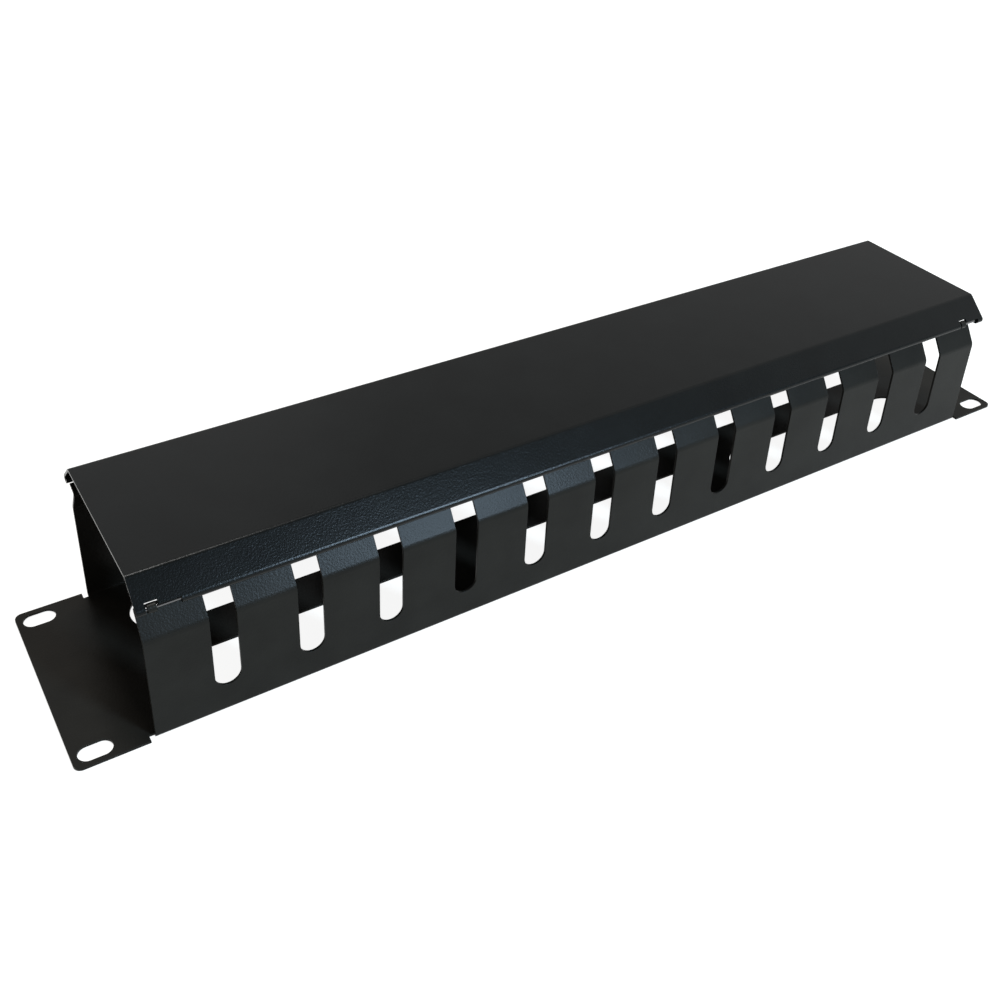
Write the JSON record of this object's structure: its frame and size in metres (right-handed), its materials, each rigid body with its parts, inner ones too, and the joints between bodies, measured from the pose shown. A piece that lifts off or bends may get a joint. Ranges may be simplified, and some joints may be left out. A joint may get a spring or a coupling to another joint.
{
  "type": "horizontal cable manager",
  "caption": "Rack-mount horizontal cable manager: a folded steel finger trough with slotted ears, back-plate windows and a hinged cover.",
  "frame": {"origin": "centre of the panel's flat back face, which bolts to the rack rails", "axes": "+X along the rack's width, +Y across the trough towards the latch side, +Z out of the rack, towards the cover"},
  "size_m": [0.4826, 0.0884, 0.0701],
  "materials": {
    "base_powder_coat": "black powder coat, satin",
    "cover_powder_coat": "black powder coat, satin",
    "bright_steel": "bright zinc-plated rod"
  },
  "bodies": {
    "trough": {"base": "base_powder_coat"},
    "cover": {"cover": "cover_powder_coat", "hinge_rod": "bright_steel", "latch_rod": "bright_steel"}
  },
  "joints": [
    {"name": "cover_hinge", "type": "hinge", "parent": "trough", "child": "cover", "pos_m": [0, -0.04233, 0.06013], "axis": [1, 0, 0], "range_deg": [0, 200]}
  ]
}
